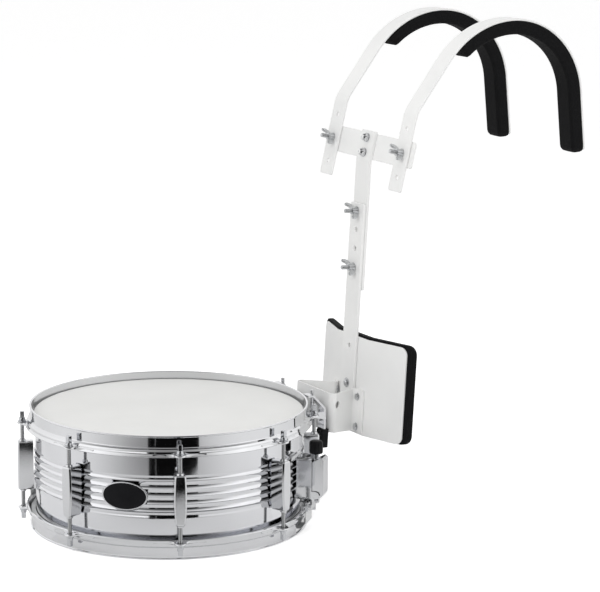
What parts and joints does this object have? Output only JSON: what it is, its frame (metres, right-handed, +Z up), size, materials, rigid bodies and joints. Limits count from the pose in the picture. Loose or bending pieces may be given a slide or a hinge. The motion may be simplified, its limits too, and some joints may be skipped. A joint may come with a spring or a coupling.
{
  "type": "marching snare drum with shoulder carrier",
  "caption": "Chromed marching snare drum with beaded shell and lever strainer, hooked by its hoop on a white shoulder carrier with padded straps and belly plate.",
  "frame": {"origin": "middle of the whole part's footprint box, on the floor the drum stands on", "axes": "+Z up, out of the batter head; +Y from the drum towards the player who wears the carrier; +X to the side, so that the strainer is between +X and +Y"},
  "size_m": [0.3804, 0.7796, 0.6607],
  "materials": {
    "chrome_shell": "polished",
    "chrome_hoop": "polished",
    "chrome_fitting": "polished",
    "coated_film": "coated white",
    "clear_film": "hazy",
    "steel_wire": "plain",
    "zinc_bolt": "zinc plated",
    "white_metal": "white powder coat",
    "black_foam": "cloth-faced foam",
    "black_plastic": "satin",
    "black_rubber": "matt",
    "badge_enamel": "gloss enamel"
  },
  "bodies": {
    "drum_and_carrier": {"shell": "chrome_shell", "batter_head": "coated_film", "snare_head": "clear_film", "top_hoop": "chrome_hoop", "bottom_hoop": "chrome_hoop", "badge": "badge_enamel", "lug_1": "chrome_fitting", "lug_2": "chrome_fitting", "lug_3": "chrome_fitting", "lug_4": "chrome_fitting", "lug_5": "chrome_fitting", "lug_6": "chrome_fitting", "lug_7": "chrome_fitting", "lug_8": "chrome_fitting", "strainer_housing": "chrome_fitting", "butt_plate": "chrome_fitting", "drum_bracket": "white_metal", "belly_plate": "white_metal", "lower_bar": "white_metal", "upper_bar": "white_metal", "cross_plate": "white_metal", "belly_pad": "black_foam", "hook_block_left": "black_rubber", "hook_block_right": "black_rubber", "hook_claw_left": "chrome_fitting", "hook_claw_right": "chrome_fitting", "bar_bolt_upper": "zinc_bolt", "bar_bolt_lower": "zinc_bolt", "strap_bolt_left": "zinc_bolt", "strap_bolt_right": "zinc_bolt"},
    "top_rod_1": {"top_rod_1": "chrome_fitting"},
    "bottom_rod_1": {"bottom_rod_1": "chrome_fitting"},
    "top_rod_2": {"top_rod_2": "chrome_fitting"},
    "bottom_rod_2": {"bottom_rod_2": "chrome_fitting"},
    "top_rod_3": {"top_rod_3": "chrome_fitting"},
    "bottom_rod_3": {"bottom_rod_3": "chrome_fitting"},
    "top_rod_4": {"top_rod_4": "chrome_fitting"},
    "bottom_rod_4": {"bottom_rod_4": "chrome_fitting"},
    "top_rod_5": {"top_rod_5": "chrome_fitting"},
    "bottom_rod_5": {"bottom_rod_5": "chrome_fitting"},
    "top_rod_6": {"top_rod_6": "chrome_fitting"},
    "bottom_rod_6": {"bottom_rod_6": "chrome_fitting"},
    "top_rod_7": {"top_rod_7": "chrome_fitting"},
    "bottom_rod_7": {"bottom_rod_7": "chrome_fitting"},
    "top_rod_8": {"top_rod_8": "chrome_fitting"},
    "bottom_rod_8": {"bottom_rod_8": "chrome_fitting"},
    "strainer_lever": {"strainer_lever": "chrome_fitting"},
    "strainer_slide": {"strainer_clamp": "chrome_fitting", "snare_strap_strainer": "clear_film"},
    "strainer_knob": {"strainer_knob": "black_plastic"},
    "snares": {"snare_wires": "steel_wire", "snare_strap_butt": "clear_film"},
    "shoulder_strap_left": {"shoulder_strap_left": "white_metal", "shoulder_pad_left": "black_foam"},
    "strap_wing_nut_left": {"strap_wing_nut_left": "zinc_bolt"},
    "shoulder_strap_right": {"shoulder_strap_right": "white_metal", "shoulder_pad_right": "black_foam"},
    "strap_wing_nut_right": {"strap_wing_nut_right": "zinc_bolt"},
    "bar_wing_nut_upper": {"bar_wing_nut_upper": "zinc_bolt"},
    "bar_wing_nut_lower": {"bar_wing_nut_lower": "zinc_bolt"}
  },
  "joints": [
    {"name": "top_rod_1_turn", "type": "hinge", "parent": "drum_and_carrier", "child": "top_rod_1", "pos_m": [0.07443, -0.01996, 0.14], "axis": [0, 0, 1], "continuous": true},
    {"name": "bottom_rod_1_turn", "type": "hinge", "parent": "drum_and_carrier", "child": "bottom_rod_1", "pos_m": [0.07443, -0.01996, 0.022], "axis": [0, 0, 1], "continuous": true},
    {"name": "top_rod_2_turn", "type": "hinge", "parent": "drum_and_carrier", "child": "top_rod_2", "pos_m": [0.17969, -0.12522, 0.14], "axis": [0, 0, 1], "continuous": true},
    {"name": "bottom_rod_2_turn", "type": "hinge", "parent": "drum_and_carrier", "child": "bottom_rod_2", "pos_m": [0.17969, -0.12522, 0.022], "axis": [0, 0, 1], "continuous": true},
    {"name": "top_rod_3_turn", "type": "hinge", "parent": "drum_and_carrier", "child": "top_rod_3", "pos_m": [0.17969, -0.27408, 0.14], "axis": [0, 0, 1], "continuous": true},
    {"name": "bottom_rod_3_turn", "type": "hinge", "parent": "drum_and_carrier", "child": "bottom_rod_3", "pos_m": [0.17969, -0.27408, 0.022], "axis": [0, 0, 1], "continuous": true},
    {"name": "top_rod_4_turn", "type": "hinge", "parent": "drum_and_carrier", "child": "top_rod_4", "pos_m": [0.07443, -0.37934, 0.14], "axis": [0, 0, 1], "continuous": true},
    {"name": "bottom_rod_4_turn", "type": "hinge", "parent": "drum_and_carrier", "child": "bottom_rod_4", "pos_m": [0.07443, -0.37934, 0.022], "axis": [0, 0, 1], "continuous": true},
    {"name": "top_rod_5_turn", "type": "hinge", "parent": "drum_and_carrier", "child": "top_rod_5", "pos_m": [-0.07443, -0.37934, 0.14], "axis": [0, 0, 1], "continuous": true},
    {"name": "bottom_rod_5_turn", "type": "hinge", "parent": "drum_and_carrier", "child": "bottom_rod_5", "pos_m": [-0.07443, -0.37934, 0.022], "axis": [0, 0, 1], "continuous": true},
    {"name": "top_rod_6_turn", "type": "hinge", "parent": "drum_and_carrier", "child": "top_rod_6", "pos_m": [-0.17969, -0.27408, 0.14], "axis": [0, 0, 1], "continuous": true},
    {"name": "bottom_rod_6_turn", "type": "hinge", "parent": "drum_and_carrier", "child": "bottom_rod_6", "pos_m": [-0.17969, -0.27408, 0.022], "axis": [0, 0, 1], "continuous": true},
    {"name": "top_rod_7_turn", "type": "hinge", "parent": "drum_and_carrier", "child": "top_rod_7", "pos_m": [-0.17969, -0.12522, 0.14], "axis": [0, 0, 1], "continuous": true},
    {"name": "bottom_rod_7_turn", "type": "hinge", "parent": "drum_and_carrier", "child": "bottom_rod_7", "pos_m": [-0.17969, -0.12522, 0.022], "axis": [0, 0, 1], "continuous": true},
    {"name": "top_rod_8_turn", "type": "hinge", "parent": "drum_and_carrier", "child": "top_rod_8", "pos_m": [-0.07443, -0.01996, 0.14], "axis": [0, 0, 1], "continuous": true},
    {"name": "bottom_rod_8_turn", "type": "hinge", "parent": "drum_and_carrier", "child": "bottom_rod_8", "pos_m": [-0.07443, -0.01996, 0.022], "axis": [0, 0, 1], "continuous": true},
    {"name": "strainer_lever_throw", "type": "hinge", "parent": "drum_and_carrier", "child": "strainer_lever", "pos_m": [0.1458, -0.05384, 0.053], "axis": [-0.7071, 0.7071, 0], "range_deg": [0, 90]},
    {"name": "strainer_slide_drop", "type": "slide", "parent": "drum_and_carrier", "child": "strainer_slide", "axis": [0, 0, -1], "range_m": [0, 0.0035]},
    {"name": "snare_drop", "type": "hinge", "parent": "drum_and_carrier", "child": "snares", "pos_m": [-0.13672, -0.33637, 0.0384], "axis": [-0.7071, 0.7071, 0], "range_deg": [0, 0.555]},
    {"name": "strainer_knob_turn", "type": "hinge", "parent": "strainer_slide", "child": "strainer_knob", "pos_m": [0.14347, -0.05618, 0.118], "axis": [0, 0, 1], "continuous": true},
    {"name": "shoulder_strap_left_swing", "type": "hinge", "parent": "drum_and_carrier", "child": "shoulder_strap_left", "pos_m": [-0.091, 0.10356, 0.48643], "axis": [0, 0.9732, -0.23], "range_deg": [-12, 12]},
    {"name": "strap_wing_nut_left_turn", "type": "hinge", "parent": "drum_and_carrier", "child": "strap_wing_nut_left", "pos_m": [-0.091, 0.09723, 0.48793], "axis": [0, 0.9732, -0.23], "continuous": true},
    {"name": "shoulder_strap_right_swing", "type": "hinge", "parent": "drum_and_carrier", "child": "shoulder_strap_right", "pos_m": [0.091, 0.10356, 0.48643], "axis": [0, 0.9732, -0.23], "range_deg": [-12, 12]},
    {"name": "strap_wing_nut_right_turn", "type": "hinge", "parent": "drum_and_carrier", "child": "strap_wing_nut_right", "pos_m": [0.091, 0.09723, 0.48793], "axis": [0, 0.9732, -0.23], "continuous": true},
    {"name": "bar_wing_nut_upper_turn", "type": "hinge", "parent": "drum_and_carrier", "child": "bar_wing_nut_upper", "pos_m": [0, 0.08304, 0.39773], "axis": [0, 0.9983, -0.0576], "continuous": true},
    {"name": "bar_wing_nut_lower_turn", "type": "hinge", "parent": "drum_and_carrier", "child": "bar_wing_nut_lower", "pos_m": [0, 0.07855, 0.31986], "axis": [0, 0.9983, -0.0576], "continuous": true}
  ],
  "couplings": [
    {"joint": "strainer_slide_drop", "follows": "strainer_lever_throw", "m_per_rad": 0.0022271},
    {"joint": "snare_drop", "follows": "strainer_lever_throw", "ratio": 0.0061632}
  ]
}
